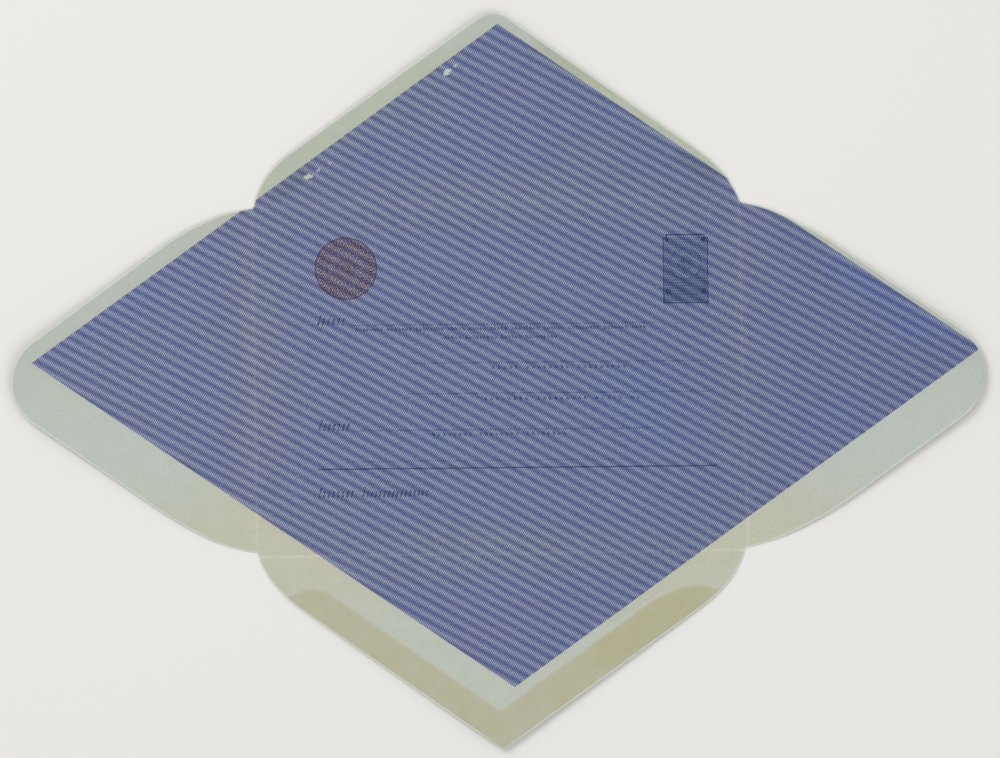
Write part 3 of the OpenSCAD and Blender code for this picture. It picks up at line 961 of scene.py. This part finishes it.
class ENVELOPE_OT_gum(bpy.types.Operator):
    """Build the dried gum along the two edges of the bottom flap"""

    bl_idname = "envelope.gum"
    bl_label = "Build Gum"
    # Number of points across and along each band
    ACROSS, ALONG = 20, 70

    def execute(self, context):
        sizes, colours = chosen(context)
        flap = Flap("bottom", sizes)
        bands = [self.band(flap, sizes, side) for side in (0, 1)]
        # Both bands start on the flap's middle line, with the same row of points
        first = (bands[0][: self.ACROSS, 1] + bands[1][: self.ACROSS, 1]) / 2
        parts = []
        for points in bands:
            points[: self.ACROSS] = points_at(0, first)
            quads = grid_quads(self.ALONG, self.ACROSS)
            parts.append((flap.to_sheet(flap.leant(points)), quads))
        points, quads = welded(joined(parts))
        starts, ends = boundary(points, face_up(points, quads))
        inside = distance_to_lines(points, points[starts], points[ends])
        top = upper_face(points, sizes)
        solid = slab((points, quads), top + sizes.gum_t * MM * smooth(0.1 + inside), top - ROOT)
        piece = make_piece("gum_band", solid, [dried_gum(sizes, colours)])
        cut = distance_to_outline(points, {"bottom": flap})
        # The gum runs out to the cut edge, so only its other borders soak into the paper
        note(piece.data, "gum_border", np.where(cut < inside + 0.4, 9, inside))
        return {"FINISHED"}

    def band(self, flap, sizes, side):
        """Band inside one edge. Its points lie some way s down from the tip along the straight
        edge and some way t in from it. The outer side keeps a small gap from the rounded tip,
        the straight edge and the shoulder; the inner side changes its width evenly over the
        first stretch and ends in a quarter of an oval."""
        gap, stretch = 0.3, 60
        a = edge_angle(flap.width, flap.reach, flap.tip_r, flap.notches[side])
        at_tip, at_end, start, stop = GUM[side]
        shoulder_r = FLAPS["bottom"][2 + side]
        sweep = math.acos(1 - flap.notches[side] / shoulder_r)
        corner = math.hypot(flap.width / 2, flap.reach - flap.tip_r + flap.tip_r / math.sin(a))
        bend = math.sqrt(corner**2 - flap.notches[side] ** 2) - shoulder_r * math.sin(sweep)
        tip_s = flap.tip_r / math.tan(a)

        def depth_in(s, q):
            """Distance in from the edge, where q runs from 0 on the outer side to 1."""
            outer = gap + flap.tip_r - np.sqrt(flap.tip_r**2 - np.minimum(s - tip_s, 0) ** 2)
            outer += shoulder_r - np.sqrt(shoulder_r**2 - np.maximum(s - bend, 0) ** 2)
            wide = sizes.gum_w * MM * (at_tip + (at_end - at_tip) * np.minimum(s / stretch, 1))
            oval = np.sqrt(1 - np.clip((s - start) / (stop - start), 0, 0.999) ** 2)
            return outer + (wide * oval - outer) * q

        q = 0.5 - 0.5 * np.cos(np.linspace(0, np.pi, self.ACROSS))
        # The first row lies on the middle line, which a few steps of repeated fitting find
        first = np.full(self.ACROSS, 3.0)
        for _ in range(8):
            first = depth_in(first, q) / math.tan(a)
        s = first + (stop - first) * np.sin(np.linspace(0, np.pi / 2, self.ALONG))[:, None] ** 1.2
        t = depth_in(s, q)
        along = np.array([math.sin(a), -math.cos(a)])
        inward = -np.array([math.cos(a), math.sin(a)])
        tip = np.array([0, flap.reach - flap.tip_r + flap.tip_r / math.sin(a)])
        points = tip + s[..., None] * along + t[..., None] * inward
        return points.reshape(-1, 2) * ([1, 1] if side == 0 else [-1, 1])


class ENVELOPE_OT_form(bpy.types.Operator):
    """Build the address form: dotted rules, a heavy rule, heading marks and rows of ticks"""

    bl_idname = "envelope.form"
    bl_label = "Build Form"

    def execute(self, context):
        sizes, colours = chosen(context)
        ink = letterpress_ink("dark blue", colours.form_ink, sizes, colours)
        random = np.random.default_rng(7)
        rules = [self.dotted(sizes, random, *rule) for rule in DOTTED_RULES]
        rules.append(self.solid_rule(*HEAVY_RULE))
        inked("form_rules", rules, ink, sizes)
        marks = [self.zigzag(*mark) for mark in HEADING_MARKS]
        marks += [self.ticks(random, *row) for row in TICK_ROWS]
        inked("form_marks", marks, ink, sizes)
        return {"FINISHED"}

    @staticmethod
    def dotted(sizes, random, left, right, y, weight):
        """Dots along a level line, a dot pitch apart, each a little off in size and place."""
        x = np.arange(left, right, sizes.dot_pitch * MM)
        centres = points_at(x, y)
        centres += random.normal(0, 0.015, centres.shape)
        radii = sizes.dot_d * MM / 2 * weight * random.uniform(0.88, 1.12, len(x))
        return dots(centres, radii)

    @staticmethod
    def solid_rule(left, right, y, width):
        """Ribbon along a level line in steps of about 1.5 mm, so that it follows the paper."""
        x = np.linspace(left, right, int((right - left) / 1.5))
        return strips(points_at(x, y)[None], width / 2)

    @staticmethod
    def zigzag(left, right, foot, height, pitch):
        """Slanted zigzag: heavy strokes lean forward a pitch apart, the first half as tall
        again, and a hairline joins each foot to the next head."""
        count = int((right - left) / pitch)
        x = left + np.arange(count) * (right - left - 0.9) / (count - 1)
        tall = np.where(np.arange(count) == 0, 1.55, 1.0) * height
        feet = points_at(x, foot)
        strokes = bars(feet, feet + points_at(0.34 * tall, tall), 0.34)
        hairlines = bars(feet[:-1], feet[1:] + [0.34 * height, height], 0.12)
        return joined([strokes, hairlines])

    @staticmethod
    def ticks(random, left, right, foot, height, pitch):
        """Row of upright ticks in groups of four to nine, with a gap of one pitch between. Each
        is a tall stroke with a lower one beside it."""
        slots = np.arange(left, right, pitch)
        groups = np.cumsum(random.integers(5, 11, 60))
        x = slots[~np.isin(np.arange(len(slots)), groups)]
        size = random.uniform(0.75, 1.0, len(x)) * height
        feet = points_at(x, foot)
        second = feet + [0.42, 0]
        rise = points_at(0, size)
        thin = bars(second, second + rise * 0.7, random.uniform(0.17, 0.28, len(x)))
        return joined([bars(feet, feet + rise, random.uniform(0.22, 0.33, len(x))), thin])


class ENVELOPE_OT_postage(bpy.types.Operator):
    """Build the postage mark: hatching, a window with lozenges, a foot, and a stepped frame with
    a round in each corner"""

    bl_idname = "envelope.postage"
    bl_label = "Build Postage Mark"
    # Radius of the round window, and how far its middle lies over the mark's
    WINDOW_R, WINDOW_Y = 4.8, 1.5

    def execute(self, context):
        sizes, colours = chosen(context)
        x, y, w, h = POSTAGE
        field = [self.hatching(w, h), self.window(), self.foot(w, h)]
        ink = letterpress_ink("teal blue", colours.postage_ink, sizes, colours)
        inked("postage_mark", field, ink, sizes, (x, y))
        frame = [self.frame(w, h, 1.0), self.corners(w, h)]
        ink = letterpress_ink("dark blue", colours.form_ink, sizes, colours)
        inked("postage_frame", frame, ink, sizes, (x, y), SECOND_COAT)
        return {"FINISHED"}

    @staticmethod
    def frame(w, h, step):
        """Outline of an upright oblong with a step in each upper corner, drawn with bars that
        overlap at their ends."""
        r, t = w / 2, h / 2
        corners = [(-r, -t), (r, -t), (r, t - step), (r - step, t - step), (r - step, t)]
        corners += [(-x, y) for x, y in corners[:1:-1]]
        corners = np.array(corners)
        after = np.roll(corners, -1, axis=0)
        width = np.full(len(corners), 0.36)
        # The foot, the right side and the head
        width[[0, 1, 4]] = 0.46, 0.34, 0.45
        grow = (after - corners) / np.linalg.norm(after - corners, axis=1)[:, None] * 0.14
        return bars(corners - grow, after + grow, width)

    @staticmethod
    def corners(w, h):
        """Solid round in each corner of the field, the lower ones larger."""
        high, low = h / 2 - 1.5, -h / 2 + 3.7
        places = [(1.1 - w / 2, high), (w / 2 - 1.3, high), (1.4 - w / 2, low), (w / 2 - 1.3, low)]
        return dots(np.array(places), [0.6, 0.8, 0.9, 0.8])

    def hatching(self, w, h):
        """Level hatch lines, denser low down, that stop at the round window."""
        y = np.arange(-h / 2 + 3.4, h / 2 - 0.8, 0.5)
        window = np.sqrt(np.maximum(0, self.WINDOW_R**2 - (y - self.WINDOW_Y) ** 2))
        width = 0.2 + 0.12 * smooth((4 - y) / 12)
        edge = w / 2 - 0.3
        left = bars(points_at(-edge, y), points_at(-window, y), width)
        return joined([left, bars(points_at(window, y), points_at(edge, y), width)])

    def window(self):
        """Ring round the window, and nested lozenges and upright hatch inside it."""
        middle = np.array([0, self.WINDOW_Y])
        ring = circle(np.linspace(0, 2 * math.pi, 72, endpoint=False)) * self.WINDOW_R + middle
        parts = [strips(ring[None], 0.1, closed=True)]
        for half in (2.7, 1.9, 1.1):
            corners = np.array([(half, 0), (0, half), (-half, 0), (0, -half)]) + middle
            parts.append(bars(corners, np.roll(corners, -1, axis=0), 0.26))
        x = np.arange(-4.25, 4.5, 0.5)
        reach = np.sqrt((self.WINDOW_R - 0.05) ** 2 - x**2)
        parts.append(bars(points_at(x, -reach) + middle, points_at(x, reach) + middle, 0.18))
        return joined(parts)

    @staticmethod
    def foot(w, h):
        """Band at the foot: two level lines and upright hatch between them."""
        low, high, edge = -h / 2 + 0.55, -h / 2 + 2.9, w / 2 - 0.3
        levels = bars([(-edge, high), (-edge, low)], [(edge, high), (edge, low)], [0.25, 0.2])
        x = np.arange(-edge, edge, 0.42)
        return joined([levels, bars(points_at(x, low), points_at(x, high), 0.24)])


class ENVELOPE_OT_rosette(bpy.types.Operator):
    """Build the rosette: rings, a braid of waves and a small flower"""

    bl_idname = "envelope.rosette"
    bl_label = "Build Rosette"

    def execute(self, context):
        sizes, colours = chosen(context)
        x, y, r = ROSETTE
        outer, inner = sizes.petals, sizes.petals * 2 // 3
        braid = (
            (7.8, 1.65, outer, 4, 0.135),
            (8.0, 0.6, outer, 2, 0.1),
            (4.25, 1.3, inner, 3, 0.145),
            (1.6, 0.75, inner, 2, 0.13),
            (0.35, 0, 1, 1, 0.2),
        )
        rings = ((r - 0.17, 0, 1, 1, 0.17), (5.85, 0, 1, 1, 0.1), (2.65, 0, 1, 1, 0.1))
        for name, lines, shade, ink, over in (
            ("rosette", braid, "brown-red", colours.rosette_ink, 0),
            ("rosette_lines", rings, "dark brown", colours.rim_ink, SECOND_COAT),
        ):
            ink = letterpress_ink(shade, ink, sizes, colours)
            parts = [self.wave(*line) for line in lines]
            inked(name, parts, ink, sizes, (x, y), over)
        return {"FINISHED"}

    @staticmethod
    def wave(radius, swing, waves, count, half_width):
        """Closed waves round a circle: the radius plus the swing times the cosine of a whole
        number of waves. As many as the count share out one wave's turn between them."""
        turn = np.linspace(0, 2 * math.pi, 240, endpoint=False)
        phases = (np.arange(count) / count)[:, None] * 2 * math.pi
        reach = radius + swing * np.cos(waves * turn[None] + phases)
        return strips(reach[..., None] * circle(turn), half_width, closed=True)


class ENVELOPE_OT_stage(bpy.types.Operator):
    """Set the floor, the light and the camera"""

    bl_idname = "envelope.stage"
    bl_label = "Set Stage"

    def execute(self, context):
        colours = context.scene.envelope_colours
        context.scene.view_settings.view_transform = "Standard"
        # The tint's lines are less than two pixels apart, and they only stay in the picture
        # if the denoiser is guided by the surface's colour as it is
        context.scene.cycles.denoising_prefilter = "NONE"
        self.floor(colours)
        self.world(context.scene, colours)
        self.lamp("key", (-0.75, 0.8, 1.3), 0.9, 10.0)
        self.lamp("fill", (0.9, -0.7, 1.2), 1.2, 4.4)
        self.camera(context.scene)
        return {"FINISHED"}

    @staticmethod
    def floor(colours):
        """Matt board that keeps the sheet's shadow. From 230 to 750 mm away from the sheet's
        middle the camera sees more and more of its plain colour, so that it runs into the
        backdrop without a horizon."""
        material, add, place = new_material("matt floor board")
        board = add("BsdfPrincipled", BaseColor=colours.floor, Roughness=0.9)
        far = add("MapRange SMOOTHSTEP", add("VectorMath LENGTH", place), 230, 750)
        far = add("Math MULTIPLY", far, add("LightPath").outputs["Is Camera Ray"])
        plain = add("Emission", colours.floor, 1.0)
        add("OutputMaterial", add("MixShader", far, board, plain))
        mesh = bpy.data.meshes.new("floor")
        side, low = 6.0, -0.00002
        corners = [(-side, -side, low), (side, -side, low), (side, side, low), (-side, side, low)]
        mesh.from_pydata(corners, [], [(0, 1, 2, 3)])
        mesh.materials.append(material)
        placed("floor", mesh)

    @staticmethod
    def world(scene, colours):
        """Even light from all round, with the floor's own paleness where the camera sees it."""
        world = bpy.data.worlds.new("studio")
        scene.world = world
        world.use_nodes = True
        world.node_tree.nodes.clear()
        add = partial(add_node, world.node_tree)
        path = add("LightPath").outputs
        seen = add("Math MAXIMUM", path["Is Camera Ray"], path["Is Glossy Ray"])
        seen = add("Math MAXIMUM", seen, path["Is Transmission Ray"])
        light = add("Background", (1, 1, 1), 0.64)
        pale = add("Background", colours.floor, 1.0)
        add("OutputWorld", add("MixShader", seen, light, pale))

    @staticmethod
    def lamp(name, place, size, power):
        """Round soft light in metres and watts, turned to the middle of the sheet and unseen."""
        data = bpy.data.lights.new(name, "AREA")
        data.shape, data.size, data.energy = "DISK", size, power
        lamp = placed(name, data)
        lamp.location = place
        lamp.rotation_euler = (-lamp.location).to_track_quat("-Z", "Y").to_euler()
        lamp.visible_camera = False

    @staticmethod
    def camera(scene):
        """Long lens straight above the photo's middle, as high as makes the photo's scale and
        turned by the angle at which the sheet was laid."""
        photo_w, px_per_mm, laid_at, middle = 1000, 3.167, -0.88, (0.2176, -0.2244)
        data = bpy.data.cameras.new("camera")
        data.lens, data.sensor_width, data.clip_end = 200.0, 36.0, 100
        camera = placed("camera", data)
        height = photo_w / px_per_mm / MM * data.lens / data.sensor_width
        camera.location = (middle[0] / MM, middle[1] / MM, height)
        camera.rotation_euler = (0, 0, math.radians(laid_at))
        scene.camera = camera


class ENVELOPE_PT_panel(bpy.types.Panel):
    """Sizes, colours and builders of the envelope"""

    bl_idname = "ENVELOPE_PT_panel"
    bl_label = "Opened Envelope"
    bl_space_type = "VIEW_3D"
    bl_region_type = "UI"
    bl_category = "Envelope"

    def draw(self, context):
        """Lists every size and colour, and a button for each builder."""
        for group in (context.scene.envelope_sizes, context.scene.envelope_colours):
            box = self.layout.box()
            for name in group.bl_rna.properties.keys():
                if name not in ("rna_type", "name"):
                    box.prop(group, name)
        for operator in BUILDERS:
            self.layout.operator(operator.bl_idname)


BUILDERS = (
    ENVELOPE_OT_sheet,
    ENVELOPE_OT_gum,
    ENVELOPE_OT_form,
    ENVELOPE_OT_postage,
    ENVELOPE_OT_rosette,
    ENVELOPE_OT_stage,
)
CLASSES = (EnvelopeSizes, EnvelopeColours) + BUILDERS + (ENVELOPE_PT_panel,)


def register():
    """Registers the classes and gives each scene its sizes and colours."""
    for cls in CLASSES:
        bpy.utils.register_class(cls)
    bpy.types.Scene.envelope_sizes = PointerProperty(type=EnvelopeSizes)
    bpy.types.Scene.envelope_colours = PointerProperty(type=EnvelopeColours)


def unregister():
    """Takes back what register did."""
    del bpy.types.Scene.envelope_colours
    del bpy.types.Scene.envelope_sizes
    for cls in reversed(CLASSES):
        bpy.utils.unregister_class(cls)


def main():
    """Builds the envelope and its stage."""
    register()
    bpy.ops.envelope.sheet()
    bpy.ops.envelope.gum()
    bpy.ops.envelope.form()
    bpy.ops.envelope.postage()
    bpy.ops.envelope.rosette()
    bpy.ops.envelope.stage()


if __name__ == "__main__":
    main()
